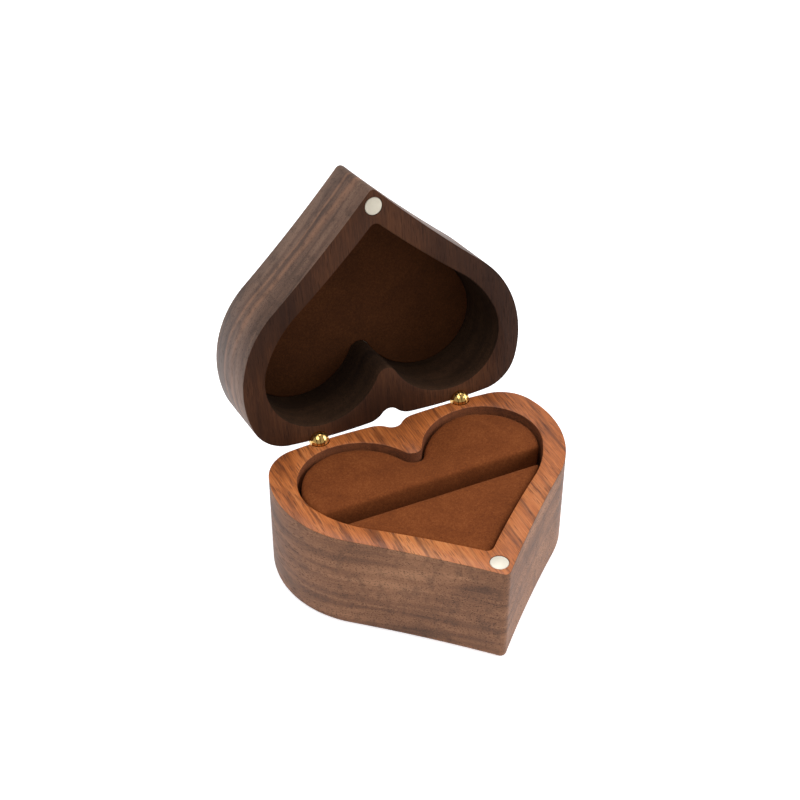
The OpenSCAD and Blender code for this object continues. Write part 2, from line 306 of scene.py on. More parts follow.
@dataclass(frozen=True)
class Heart:
    """A heart of tangent arcs, symmetrical about X = 0, with its tip towards -Y."""

    half_width: float
    back: float
    tip: float
    side_back: float
    side_r: float
    lobe_x: float
    back_r: float
    shoulder_r: float
    cheek_r: float
    cleft_r: float
    cleft_y: float
    tip_r: float
    flank_r: float

    STEPS = (8, 36, 44, 20, 16, 18, 12)

    def arcs(self, grow: float) -> list[tuple[Vector, Vector, Vector, int]]:
        """The arcs of the right half, from the tip round to the cleft.

        Args:
            grow: how far the outline is moved outwards.

        Returns:
            For each arc its centre, first point, last point and turn: 1 is anticlockwise.
        """
        tip = Vector((0, self.tip + self.tip_r))
        side = Vector((self.half_width - self.side_r, self.back - self.side_back))
        back = Vector((self.lobe_x, self.back - self.back_r))
        cleft = Vector((0, self.cleft_y + self.cleft_r))
        shoulder = meet(side, self.side_r - self.shoulder_r, back, self.back_r - self.shoulder_r, 1)
        flank = meet(tip, self.flank_r + self.tip_r, side, self.flank_r + self.side_r, -1)
        cheek = meet(back, self.back_r - self.cheek_r, cleft, self.cleft_r + self.cheek_r, -1)

        def towards(centre: Vector, other: Vector, radius: float) -> Vector:
            """Returns the point at a radius from a centre towards another one."""
            return centre + (other - centre).normalized() * (radius + grow)

        joints = [
            tip - Vector((0, self.tip_r + grow)),
            towards(tip, flank, self.tip_r),
            towards(side, flank, self.side_r),
            towards(side, shoulder, self.side_r),
            towards(back, shoulder, self.back_r),
            towards(back, cheek, self.back_r),
            towards(cheek, cleft, self.cheek_r),
            cleft - Vector((0, self.cleft_r - grow)),
        ]
        centres = (tip, flank, side, shoulder, back, cheek, cleft)
        turns = (1, -1, 1, 1, 1, 1, -1)
        return [(c, a, b, t) for c, a, b, t in zip(centres, joints, joints[1:], turns)]

    def half(self, bm: Shape, z: float, grow: float = 0.0) -> list[Edge]:
        """Draws the right half of the outline by spinning a point round each arc.

        Args:
            bm: the mesh that it is drawn in.
            z: its height.
            grow: how far it is moved outwards.

        Returns:
            The edges of the open chain.
        """
        known = set(bm.edges)
        arcs = self.arcs(grow)
        last = bm.verts.new((*arcs[0][1], z))
        last.co.x = 0
        for (centre, start, end, turn), steps in zip(arcs, self.STEPS):
            a, b = start - centre, end - centre
            sweep = math.atan2(b.y, b.x) - math.atan2(a.y, a.x)
            sweep = turn * ((turn * sweep) % math.tau)
            spun = bmesh.ops.spin(bm, geom=[last], cent=(*centre, z), axis=(0, 0, 1), angle=sweep,
                                  steps=steps)
            last = next(item for item in spun["geom_last"] if isinstance(item, Vert))
        last.co.x = 0
        return [edge for edge in bm.edges if edge not in known]

    def face(self, z: float, grow: float = 0.0) -> Shape:
        """Returns a mesh of one face in the shape of the heart, at the given height."""
        bm = bmesh.new()
        self.half(bm, z, grow)
        mirror_half(bm)
        bmesh.ops.contextual_create(bm, geom=bm.edges[:])
        return bm

    def prism(self, low: float, high: float, grow: float = 0.0) -> Shape:
        """Returns the heart extruded from one height to another."""
        bm = self.face(low, grow)
        raised(bm, bmesh.ops.extrude_face_region(bm, geom=bm.faces[:]), (0, 0, high - low))
        outwards(bm)
        return bm


def mirror_half(bm: Shape) -> None:
    """Adds the left half of a right one and joins the two."""
    geom = bm.verts[:] + bm.edges[:] + bm.faces[:]
    bmesh.ops.mirror(bm, geom=geom, matrix=Matrix.Identity(4), merge_dist=1e-3, axis="X")
    bmesh.ops.remove_doubles(bm, verts=bm.verts[:], dist=1e-3)


OUTER = Heart(33.5, 27.5, -27.5, 14.3, 23.8, 13.5, 130.0, 9.2, 5.2, 2.4, 24.9, 1.3, 350.0)
POCKET = Heart(29.3, 24.2, -19.8, 7.7, 25.3, 15.6, 15.1, 12.5, 13.5, 2.1, 14.9, 1.6, 270.0)


# ---------- shader tools ----------


class Signal:
    """A shader value with arithmetic: an expression on signals adds its Math nodes."""

    def __init__(self, bench: "Bench", socket: Socket) -> None:
        """Wraps an output socket of a node in the bench's tree."""
        self.bench = bench
        self.socket = socket

    def math(self, operation: str, *others: Union["Signal", float], first: bool = True) -> "Signal":
        """Adds a Math node.

        Args:
            operation: the node's operation.
            others: the other values.
            first: False to put this signal after the others.

        Returns:
            The node's result.
        """
        values = (self, *others) if first else (*others, self)
        node = self.bench.node("Math", {"operation": operation}, dict(enumerate(values)))
        return Signal(self.bench, node.outputs[0])

    def __add__(self, other: Union["Signal", float]) -> "Signal":
        """Returns the sum."""
        return self.math("ADD", other)

    __radd__ = __add__

    def __mul__(self, other: Union["Signal", float]) -> "Signal":
        """Returns the product."""
        return self.math("MULTIPLY", other)

    __rmul__ = __mul__

    def __sub__(self, other: Union["Signal", float]) -> "Signal":
        """Returns the difference."""
        return self.math("SUBTRACT", other)

    def __rsub__(self, other: float) -> "Signal":
        """Returns a number minus this signal."""
        return self.math("SUBTRACT", other, first=False)

    def clamp(self) -> "Signal":
        """Returns this signal held between 0 and 1."""
        node = self.bench.node("Clamp", {}, {0: self})
        return Signal(self.bench, node.outputs[0])

    def above(self, start: float, end: float) -> "Signal":
        """Returns 0 below start, 1 above end and a straight ramp between them."""
        return ((self - start) * (1 / (end - start))).clamp()


class Bench:
    """A new material and the few ways in which this file adds nodes to it."""

    def __init__(self, name: str) -> None:
        """Starts an empty material with a Principled shader."""
        self.material = bpy.data.materials.new(name)
        self.material.use_nodes = True
        self.tree = self.material.node_tree
        self.tree.nodes.clear()
        self.output = self.tree.nodes.new("ShaderNodeOutputMaterial")
        self.shader = self.tree.nodes.new("ShaderNodeBsdfPrincipled")
        self.tree.links.new(self.shader.outputs[0], self.output.inputs["Surface"])

    def node(self, kind: str, settings: dict, values: dict) -> bpy.types.Node:
        """Adds a node.

        Args:
            kind: the node's type, without its ShaderNode.
            settings: its properties, set first; "stops" is a ramp's list of (place, colour).
            values: for each socket, by name or number, a number, a colour or a link.

        Returns:
            The node.
        """
        node = self.tree.nodes.new("ShaderNode" + kind)
        for key, value in settings.items():
            if key == "stops":
                ramp = node.color_ramp
                while len(ramp.elements) < len(value):
                    ramp.elements.new(0.5)
                for element, (place, colour) in zip(ramp.elements, value):
                    element.position, element.color = place, (*colour, 1)
            else:
                setattr(node, key, value)
        for key, value in values.items():
            self.put(node.inputs[key], value)
        return node

    def put(self, socket: Socket, value: object) -> None:
        """Links or sets one input socket."""
        if isinstance(value, Signal):
            value = value.socket
        if isinstance(value, Socket):
            self.tree.links.new(value, socket)
        elif socket.type == "RGBA" and len(value) == 3:
            socket.default_value = (*value, 1)
        else:
            socket.default_value = value

    def surface(self, **values: object) -> None:
        """Sets sockets of the Principled shader; an underscore stands for a space."""
        for key, value in values.items():
            self.put(self.shader.inputs[key.replace("_", " ")], value)

    def place(self, turn: float = 0.0, move: Sequence[float] = (0, 0, 0)) -> Socket:
        """Returns Object coordinates in millimetres, turned about X and then moved."""
        coordinates = self.node("TexCoord", {}, {})
        mapping = self.node("Mapping", {"vector_type": "POINT"}, {
            "Vector": coordinates.outputs["Object"], "Location": tuple(move), "Rotation": (turn, 0, 0),
            "Scale": (1 / MM,) * 3})
        return mapping.outputs[0]

    def stretch(self, where: Socket, scale: Sequence[float],
                turn: Sequence[float] = (0, 0, 0)) -> Socket:
        """Returns coordinates scaled along each axis, after a turn."""
        for name, value in (("Rotation", turn), ("Scale", scale)):
            where = self.node("Mapping", {}, {"Vector": where, name: tuple(value)}).outputs[0]
        return where

    def noise(self, where: Socket, scale: float = 1.0, detail: float = 3.0,
              rough: float = 0.5, swirl: float = 0.0) -> Signal:
        """Returns a noise between 0 and 1."""
        node = self.node("TexNoise", {}, {
            "Vector": where, "Scale": scale, "Detail": detail, "Roughness": rough, "Distortion": swirl})
        return Signal(self, node.outputs[0])

    def ramp(self, value: Signal, stops: Sequence[tuple[float, Colour]]) -> Socket:
        """Returns the colour that a ramp gives a value."""
        return self.node("ValToRGB", {"stops": stops}, {0: value}).outputs[0]

    def blend(self, amount: Union[Signal, float], below: object, above: object) -> Socket:
        """Returns one colour laid over another."""
        mixed = self.node("Mix", {"data_type": "RGBA"}, {0: amount, 6: below, 7: above})
        return mixed.outputs[2]

    def bump(self, height: Signal, depth: float, strength: float = 1.0) -> Socket:
        """Returns a normal from a height of 0 to 1, with its depth in millimetres."""
        node = self.node("Bump", {}, {
            "Strength": strength, "Distance": depth * MM, "Height": height})
        return node.outputs[0]


def tint(red: int, green: int, blue: int) -> Colour:
    """Returns the linear colour of a display colour given as 0 to 255."""
    def linear(value: int) -> float:
        """Returns one channel in linear light."""
        share = value / 255
        return share / 12.92 if share <= 0.04045 else ((share + 0.055) / 1.055) ** 2.4
    return linear(red), linear(green), linear(blue)


# ---------- finishes ----------


@dataclass(frozen=True)
class WoodFinish:
    """Oiled walnut whose grain runs along Y, with growth layers, dark streaks and open pores."""

    name: str
    dark: Colour
    middle: Colour
    light: Colour
    pore: Colour
    streak: float = 0.5
    pores: float = 0.6
    layers: float = 0.5
    roughness: float = 0.5
    fibre: float = 0.75
    seed: float = 0.0
    on_lid: bool = False
    gloss: float = 0.25
    ribbons: tuple[tuple[float, float], ...] = ()
    ribbon: Colour = (0.3, 0.15, 0.07)

    def material(self) -> bpy.types.Material:
        """Returns the material."""
        bench = Bench(self.name)
        if self.on_lid:
            move, turn = HINGE.closing()
            where = bench.place(turn, move)
        else:
            where = bench.place()
        where = bench.node("VectorMath", {"operation": "ADD"}, {
            0: where, 1: (self.seed, self.seed * 3.1, self.seed * 0.7)}).outputs[0]
        wander = bench.noise(bench.stretch(where, (0.05, 0.022, 0.09)), 1, 2, 0.5)
        tilted = bench.stretch(where, (0.035, 0.018, 0.42), (0.03, 0.05, 0))
        layer = bench.noise(tilted, 1, 3, 0.55, 0.5)
        streaks = bench.noise(bench.stretch(where, (0.55, 0.035, 0.30)), 1, 4, 0.6, 0.3)
        fibre = bench.noise(bench.stretch(where, (3.4, 0.13, 3.4)), 1, 4, 0.7)
        fine = bench.noise(bench.stretch(where, (9, 0.5, 9)), 1, 2, 0.6)
        cells = bench.node("TexVoronoi", {}, {
            "Vector": bench.stretch(where, (2.5, 0.30, 2.9)), "Scale": 1.0})
        crowd = bench.noise(bench.stretch(where, (0.9, 0.12, 1.3)), 1, 2, 0.6)
        near = Signal(bench, cells.outputs["Distance"])
        band = layer.above(0.42, 0.60)
        pore = (0.36 - near).above(0.0, 0.10) * (crowd + band * 0.18).above(0.47, 0.60)
        tone = (0.5 + (layer - 0.5) * (1.5 * self.layers) + (wander - 0.5) * 0.9
                + (fibre - 0.5) * self.fibre + (fine - 0.5) * 0.3)
        colour = bench.ramp(tone, [(0.18, self.dark), (0.5, self.middle), (0.86, self.light)])
        level = Signal(bench, bench.node("SeparateXYZ", {}, {0: where}).outputs[2])
        for height, width in self.ribbons:
            off = (level - (height + self.seed * 0.7) + (wander - 0.5) * 7.0).math("ABSOLUTE")
            colour = bench.blend((1 - off * (1 / width)).clamp() * 0.8, colour, self.ribbon)
        dark_streak = streaks.above(0.52, 0.64) * self.streak
        colour = bench.blend(dark_streak, colour, self.dark)
        colour = bench.blend(pore * self.pores, colour, self.pore)
        height = fibre * 0.35 + fine * 0.25 - pore * 0.6
        bench.surface(
            Base_Color=colour,
            Roughness=(self.roughness + (fibre - 0.5) * 0.22 + pore * 0.15).clamp(),
            Specular_IOR_Level=self.gloss,
            Normal=bench.bump(height, 0.05, 0.55),
        )
        return bench.material


@dataclass(frozen=True)
class SuedeFinish:
    """Napped suede: short fibres that lie in soft patches, with a fine speckle."""

    name: str
    deep: Colour
    nap: Colour
    bright: Colour
    sheen: float = 0.35

    def material(self) -> bpy.types.Material:
        """Returns the material."""
        bench = Bench(self.name)
        where = bench.place()
        patches = bench.noise(where, 0.16, 3, 0.55, 0.6)
        speckle = bench.noise(where, 2.2, 4, 0.75)
        fibre = bench.noise(bench.stretch(where, (5.5, 2.2, 5.5), (0.2, 0, 0.6)), 1, 3, 0.7)
        tone = 0.5 + (patches - 0.5) * 0.4 + (speckle - 0.5) * 0.9 + (fibre - 0.5) * 0.6
        colour = bench.ramp(tone, [(0.12, self.deep), (0.5, self.nap), (0.9, self.bright)])
        bench.surface(
            Base_Color=colour,
            Roughness=0.92,
            Specular_IOR_Level=0.15,
            Sheen_Weight=self.sheen,
            Sheen_Roughness=0.45,
            Sheen_Tint=(*self.bright, 1),
            Normal=bench.bump(speckle * 0.6 + fibre * 0.4, 0.10, 0.7),
        )
        return bench.material


@dataclass(frozen=True)
class MetalFinish:
    """Metal with faint turning marks and a little tarnish."""

    name: str
    bright: Colour
    tarnish: Colour
    roughness: float
    marks: float = 0.2
    metallic: float = 1.0

    def material(self) -> bpy.types.Material:
        """Returns the material."""
        bench = Bench(self.name)
        where = bench.place()
        cloud = bench.noise(where, 0.9, 3, 0.6)
        scratch = bench.noise(bench.stretch(where, (1.2, 14, 14), (0, 0, 0.4)), 1, 3, 0.6)
        colour = bench.blend(cloud.above(0.45, 0.75) * 0.45, self.bright, self.tarnish)
        bench.surface(
            Base_Color=colour,
            Metallic=self.metallic,
            Roughness=(self.roughness + (cloud - 0.5) * 0.12 + (scratch - 0.5) * self.marks).clamp(),
            Normal=bench.bump(scratch, 0.004, self.marks),
        )
        return bench.material


@dataclass(frozen=True)
class CardFinish:
    """Pressed grey board, seen only at its edges."""

    name: str
    dark: Colour
    light: Colour

    def material(self) -> bpy.types.Material:
        """Returns the material."""
        bench = Bench(self.name)
        where = bench.place()
        pulp = bench.noise(where, 1.6, 4, 0.7)
        colour = bench.ramp(pulp, [(0.3, self.dark), (0.7, self.light)])
        bench.surface(Base_Color=colour, Roughness=0.9, Normal=bench.bump(pulp, 0.06, 0.5))
        return bench.material


# ---------- wood ----------


@dataclass
class WoodHalf:
    """One half of the box: a walnut block with a heart-shaped pocket, hinge seats and a magnet hole."""

    name: str
    node: str
    body: Body
    slot: Slot
    far: float
    rim: float
    inner: float
    finishes: tuple[WoodFinish, WoodFinish, WoodFinish]
    on_lid: bool = False
    rim_round: float = 0.16
    far_round: float = 0.8
    pocket_round: float = 0.16
    magnet_r: float = 2.04
    magnet_depth: float = 3.0
    slot_half: float = 1.91

    def shell(self) -> Shape:
        """Returns the block with its pocket and rounded edges, before the hinge seats are cut."""
        bm = bmesh.new()
        outside = OUTER.half(bm, self.rim)
        inside = POCKET.half(bm, self.rim)
        bmesh.ops.bridge_loops(bm, edges=outside + inside)
        for edges, height in ((outside, self.far - self.rim), (inside, self.inner - self.rim)):
            raised(bm, bmesh.ops.extrude_edge_only(bm, edges=edges), (0, 0, height))
        mirror_half(bm)
        bmesh.ops.holes_fill(bm, edges=[edge for edge in bm.edges if edge.is_boundary], sides=0)
        outwards(bm)
        self.paint(bm)
        for radius, segments, height, inside in (
            (self.rim_round, 3, self.rim, False),
            (self.far_round, 4, self.far, None),
            (self.pocket_round, 2, self.rim, True),
        ):
            edges = [edge for edge in bm.edges if self.corner(edge, height, inside)]
            bevel(bm, edges, radius, segments)
        return bm

    def paint(self, bm: Shape) -> None:
        """Gives each face its material: side, rim or pocket."""
        for face in bm.faces:
            middle = face.calc_center_median()
            flat = abs(face.normal.z) > 0.5
            if flat and abs(middle.z - self.rim) < NEAR:
                face.material_index = WoodFace.RIM.value
            elif (flat and abs(middle.z - self.inner) < NEAR) or (not flat and self.faces_in(face)):
                face.material_index = WoodFace.POCKET.value
            else:
                face.material_index = WoodFace.SIDE.value

    def faces_in(self, face: Face) -> bool:
        """Returns True for a wall of the pocket."""
        middle = face.calc_center_median()
        return face.normal.x * middle.x + face.normal.y * middle.y < 0

    def corner(self, edge: Edge, z: float, inside: Optional[bool]) -> bool:
        """Tells whether an edge joins a flat face and a wall.

        Args:
            edge: the edge.
            z: the height that it has to be at.
            inside: True for a wall of the pocket, False for an outer one, None for either.

        Returns:
            True where it does.
        """
        if not level(edge, z) or len(edge.link_faces) != 2:
            return False
        walls = [face for face in edge.link_faces if abs(face.normal.z) < WALL]
        return len(walls) == 1 and inside in (None, self.faces_in(walls[0]))

    def seats(self) -> list[tuple[Cut, Shape]]:
        """Returns the cuts for the hinges and the magnet."""
        depth = self.magnet_depth
        hole = lathe([(0, -depth), (self.magnet_r, -depth), (self.magnet_r, depth), (0, depth)])
        bmesh.ops.translate(hole, verts=hole.verts[:], vec=(0, MAGNET_Y, self.rim))
        tools = [hole]
        for side in (-1, 1):
            seat = HINGE.seat(side, self.on_lid)
            hollow = ball(HINGE.knuckle_r + HINGE.knuckle_gap)
            half_deep = HINGE.bar_d / 2 + HINGE.knuckle_gap
            slot = block((-self.slot_half, -half_deep, -HINGE.bar_end), (self.slot_half, half_deep, 0))
            bore = lathe([(0, -HINGE.stud_reach), (HINGE.stud_r, -HINGE.stud_reach), (HINGE.stud_r, 0),
                          (0, 0)], 32)
            for tool in (hollow, slot, bore):
                tool.transform(seat)
                tools.append(tool)
        for tool in tools:
            for face in tool.faces:
                face.material_index = WoodFace.POCKET.value
        return [(Cut.TAKE, tool) for tool in tools]

    def build(self) -> bpy.types.Object:
        """Returns the finished wood, riding on its body."""
        bm = carve(self.shell(), self.seats())
        place = HINGE.opened() if self.on_lid else Matrix.Identity(4)
        wood = finish_mesh(bm, self.name, place, 30.0)
        for finish in self.finishes:
            wood.data.materials.append(finish.material())
        return settle(wood, self.body, self.slot, self.node)


def settle(piece: bpy.types.Object, body: Body, slot: Slot, *nodes: str) -> bpy.types.Object:
    """Puts a finished piece on its body in place of CAD nodes.

    Args:
        piece: the piece.
        body: what it moves with.
        slot: the record's slot of its finish; not used.
        nodes: the CAD nodes that it stands for.

    Returns:
        The piece.
    """
    if nodes:
        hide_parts(*nodes)
    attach(piece, body.value)
    LOG.info("%s: %d faces on %s", piece.name, len(piece.data.polygons), body.value)
    return piece


# ---------- cushion ----------


@dataclass
class Cushion:
    """One of the two suede pads that hold the ring: a soft block that fills its part of the pocket.

    The cloth swells freely, but no point is kept farther than reach from its start, so that the pad
    stays in its pocket. Most of the pad's shape is therefore the drawn block's.
    """

    name: str
    nodes: tuple[str, ...]
    face: float
    away: int
    top: float
    roll: float
    bottom: float = 3.0
    side_gap: float = 0.5
    dips: tuple[tuple[float, float, float, float], ...] = ()
    start_drop: float = 0.15
    top_round: float = 0.7
    slot_gap: float = 0.3
    skin_gap: float = 0.02
    voxel: float = 0.6
    workshop_scale: float = 20.0
    pinned: float = 1.5
    mass: float = 0.3
    pressure: float = 4.0
    tension: float = 22.0
    shear: float = 8.0
    bending: float = 1.2
    quality: int = 6
    frames: int = 20
    reach: float = 0.38
    smoothings: int = 3
    fill: float = 0.75

    def blank(self) -> Shape:
        """Returns the slightly small block that the simulation swells."""
        high = self.top - self.start_drop
        bm = POCKET.prism(self.bottom, high, -self.side_gap)
        cut = self.face + self.away * self.slot_gap
        sliced = bmesh.ops.bisect_plane(
            bm, geom=bm.verts[:] + bm.edges[:] + bm.faces[:], plane_co=(0, cut, 0),
            plane_no=(0, 1, 0), clear_outer=self.away < 0, clear_inner=self.away > 0)
        mouth = [item for item in sliced["geom_cut"] if isinstance(item, Edge)]
        bmesh.ops.holes_fill(bm, edges=mouth, sides=0)
        outwards(bm)
        at_slot = [edge for edge in bm.edges
                   if level(edge, high) and all(abs(vert.co.y - cut) < NEAR for vert in edge.verts)]
        bevel(bm, at_slot, self.roll, 8)
        rest = [edge for edge in bm.edges if level(edge, high) and len(edge.link_faces) == 2
                and any(abs(face.normal.z) < WALL for face in edge.link_faces)
                and edge.calc_face_angle(0) > 1.0]
        bevel(bm, rest, self.top_round, 5, clamp=True)
        return bm

    def swell(self, bm: Shape) -> Shape:
        """Remeshes the block evenly and lets cloth pressure push it out, each point by reach at most.

        Args:
            bm: the block, in millimetres.

        Returns:
            The slightly swollen skin, in millimetres.
        """
        scale = self.workshop_scale
        bm.transform(Matrix.Scale(scale, 4))
        skin = finish_mesh(bm, "skin")
        remesh = skin.modifiers.new("even", "REMESH")
        remesh.mode, remesh.voxel_size, remesh.use_smooth_shade = "VOXEL", self.voxel * scale * MM, True
        even = evaluated_bmesh(skin)
        even.transform(Matrix.Scale(1 / MM, 4))
        start = [vert.co.copy() for vert in even.verts]
        work = finish_mesh(even, "work")
        pins = work.vertex_groups.new(name="pins")
        low = (self.bottom + self.pinned) * scale * MM
        pins.add([v.index for v in work.data.vertices if v.co.z < low], 1.0, "REPLACE")
        cloth = work.modifiers.new("cloth", "CLOTH")
        settings = cloth.settings
        settings.quality, settings.mass = self.quality, self.mass
        settings.use_pressure, settings.uniform_pressure_force = True, self.pressure
        settings.tension_stiffness = settings.compression_stiffness = self.tension
        settings.shear_stiffness, settings.bending_stiffness = self.shear, self.bending
        settings.vertex_group_mass = "pins"
        settings.effector_weights.gravity = 0
        cloth.point_cache.frame_start, cloth.point_cache.frame_end = 1, self.frames
        scene = bpy.context.scene
        for number in range(1, self.frames + 1):
            scene.frame_set(number)
        blown = evaluated_bmesh(work)
        scene.frame_set(1)
        blown.transform(Matrix.Scale(1 / MM / scale, 4))
        farthest = 0.0
        for vert, old in zip(blown.verts, start):
            old = old / scale
            step = vert.co - old
            farthest = max(farthest, step.length)
            if step.length > self.reach:
                step *= self.reach / step.length
            step.z = min(step.z, self.reach)
            vert.co = old + step
        LOG.info("%s: cloth moved up to %.2f mm, kept to %.2f mm", self.name, farthest, self.reach)
        return blown

    def crown(self, bm: Shape) -> None:
        """Eases the skin, presses the dips in, and trims it at the pad's top, floor and slot face."""
        for _ in range(self.smoothings):
            bmesh.ops.smooth_vert(bm, verts=bm.verts[:], factor=0.5, use_axis_x=True, use_axis_y=True,
                                  use_axis_z=True)
        for vert in bm.verts:
            height = (vert.co.z - self.bottom) / (self.top - self.bottom)
            for x, y, depth, spread in self.dips:
                apart = (vert.co.x - x) ** 2 + (vert.co.y - y) ** 2
                vert.co.z -= depth * max(height, 0) ** 3 * math.exp(-apart / spread ** 2)
            vert.co.z = min(max(vert.co.z, self.bottom + self.skin_gap), self.top)
            wall = self.face + self.away * self.skin_gap
            vert.co.y = max(vert.co.y, wall) if self.away > 0 else min(vert.co.y, wall)

    def build(self, finish: SuedeFinish) -> bpy.types.Object:
        """Returns the finished pad."""
        skin = self.swell(self.blank())
        self.crown(skin)
        pad = finish_mesh(skin, self.name, smooth_angle=180.0)
        fine = pad.modifiers.new("fine", "SUBSURF")
        fine.levels = fine.render_levels = 1
        pad.data.materials.append(finish.material())
        settle(pad, Body.BASE, Slot.SUEDE, *self.nodes)
        return pad


# ---------- lid lining ----------


@dataclass
class Lining:
    """The suede sheet glued under the lid's ceiling: drawn flat, with its lower edge rounded."""

    name: str = "lid_suede"
    node: str = "lining_suede"
    high: float = 39.8
    thickness: float = 0.4
    gap: float = 0.1
    edge_round: float = 0.18

    def build(self, finish: SuedeFinish) -> bpy.types.Object:
        """Returns the finished sheet."""
        low = self.high - self.thickness
        bm = POCKET.prism(low, self.high, -self.gap)
        area = sum(face.calc_area() for face in bm.faces if abs(face.normal.z) > 0.5) / 2
        bevel(bm, [edge for edge in bm.edges if level(edge, low)], self.edge_round, 3)
        sheet = finish_mesh(bm, self.name, HINGE.opened(), 60.0)
        sheet.data.materials.append(finish.material())
        settle(sheet, Body.LID, Slot.LINING_SUEDE, self.node)
        area * MM * MM
        return sheet


# ---------- hinges ----------


@dataclass
class Hinge:
    """A ball-shaped barrel hinge: a fork in the base, a tongue in the lid and the pin through both."""

    side: int
    knuckle_flat: float = 0.15
    pin_r: float = 0.45
    pin_clearance: float = 0.05
    middle_leaf_t: float = 0.68
    lid_leaf_t: float = 0.64
    leaf_gap: float = 0.14
    rib_depth: float = 0.1
    rib_count: int = 3
    tooth_h: float = 0.3
    tooth_end: float = 0.35
    stop_gap: float = 0.03
    pin_edge: float = 0.08
    beyond: float = 6.0
    join: float = 0.05
    round_steps: int = 40

    def __post_init__(self) -> None:
        """Works out the places along the pin."""
        self.lid_leaf_x = self.middle_leaf_t / 2 + self.leaf_gap
        self.tongue_half = self.lid_leaf_x + self.lid_leaf_t
        self.cheek_x = self.tongue_half + self.leaf_gap
        self.fork_half = HINGE.knuckle_r - self.knuckle_flat
        self.fork_bar_half = self.cheek_x + (HINGE.knuckle_r - self.cheek_x) / 2
        self.word = "right" if self.side > 0 else "left"

    def stud(self) -> Shape:
        """Returns the ribbed stud that is glued into the wood."""
        pitch = (HINGE.stud_reach - HINGE.bar_end) / self.rib_count
        wide, narrow = HINGE.stud_r, HINGE.stud_r - self.rib_depth
        top = self.join - HINGE.bar_end
        profile = [(0.0, -HINGE.stud_reach)]
        for index in range(self.rib_count):
            z = -HINGE.stud_reach + index * pitch
            profile += [(wide, z), (wide, z + pitch / 2), (narrow, z + pitch / 2), (narrow, z + pitch)]
        return lathe(profile + [(narrow, top), (0, top)], self.round_steps)

    def room(self, x1: float, x2: float) -> Shape:
        """Returns the slot that another piece's leaf turns in."""
        return block((x1, -self.beyond, -HINGE.bar_start), (x2, self.beyond, self.beyond))

    def across(self, profile: Sequence[tuple[float, float]]) -> Shape:
        """Returns a lathed shape laid along the pin's axis."""
        bm = lathe(profile, self.round_steps)
        bm.transform(Matrix.Rotation(math.radians(90), 4, "Y"))
        return bm

    def bore(self, radius: float) -> Shape:
        """Returns the cut for the pin."""
        far = self.beyond
        return self.across([(0, -far), (radius, -far), (radius, far), (0, far)])

    def knuckle(self, half: float, bar_half: float) -> tuple[
            Shape, list[tuple[Cut, Shape]]]:
        """Returns the ball and the steps that flatten its ends and give it its bar.

        Args:
            half: half the ball's width along the pin.
            bar_half: half the bar's width.

        Returns:
            The ball, and the steps for carve().
        """
        far, deep = self.beyond, HINGE.bar_d / 2
        kept = block((-half, -far, -HINGE.bar_end), (half, far, far))
        bar = block((-bar_half, -deep, -HINGE.bar_end), (bar_half, deep, -self.pin_r))
        return ball(HINGE.knuckle_r), [(Cut.KEEP, kept), (Cut.ADD, bar)]

    def tooth(self) -> Shape:
        """Returns the stop tooth beside the tongue's ball."""
        near = HINGE.bar_d / 2 + self.stop_gap
        low = -HINGE.bar_start - self.tooth_h
        outline = [(near, -self.pin_r), (near, low), (near + self.tooth_end, low),
                   (HINGE.knuckle_r, -near), (near + self.tooth_end, -self.pin_r)]
        bm = bmesh.new()
        verts = [bm.verts.new((-self.tongue_half, y, z)) for y, z in outline]
        bmesh.ops.contextual_create(bm, geom=verts)
        raised(bm, bmesh.ops.extrude_face_region(bm, geom=bm.faces[:]), (2 * self.tongue_half, 0, 0))
        outwards(bm)
        turn = 2 * HINGE.stud_slope + HINGE.open_angle - 360
        bm.transform(Matrix.Rotation(math.radians(turn), 4, "X"))
        return bm

    def build(self, finish: bpy.types.Material) -> None:
        """Builds the hinge's three pieces."""
        start, steps = self.knuckle(self.fork_half, self.fork_bar_half)
        steps += [(Cut.TAKE, self.room(-self.cheek_x, -self.middle_leaf_t / 2)),
                  (Cut.TAKE, self.room(self.middle_leaf_t / 2, self.cheek_x)),
                  (Cut.TAKE, self.bore(self.pin_r)), (Cut.ADD, self.stud())]
        self.place(carve(start, steps), "fork", Body.BASE, False, finish)
        start, steps = self.knuckle(self.tongue_half, self.tongue_half)
        steps += [(Cut.ADD, self.tooth()), (Cut.TAKE, self.room(-self.lid_leaf_x, self.lid_leaf_x)),
                  (Cut.TAKE, self.bore(self.pin_r + self.pin_clearance)), (Cut.ADD, self.stud())]
        self.place(carve(start, steps), "tongue", Body.LID, True, finish)
        reach, edge = self.fork_half, self.pin_edge
        pin = self.across([
            (0, -reach), (self.pin_r - edge, -reach), (self.pin_r, -reach + edge),
            (self.pin_r, reach - edge), (self.pin_r - edge, reach), (0, reach)])
        self.place(pin, "pin", Body.BASE, False, finish)

    def place(self, bm: Shape, part: str, body: Body, lid: bool,
              finish: bpy.types.Material) -> None:
        """Puts a drawn hinge piece where its CAD node is.

        Args:
            bm: the piece, drawn at the origin.
            part: fork, tongue or pin.
            body: what it moves with.
            lid: True for the lid's half.
            finish: its material.
        """
        seat = HINGE.seat(self.side, lid)
        place = HINGE.opened() @ seat if lid else seat
        piece = finish_mesh(bm, f"{self.word}_brass_{part}", place, 32.0)
        piece.data.materials.append(finish)
        settle(piece, body, Slot.BRASS, f"{self.word}_hinge_{part}")


# ---------- magnets ----------


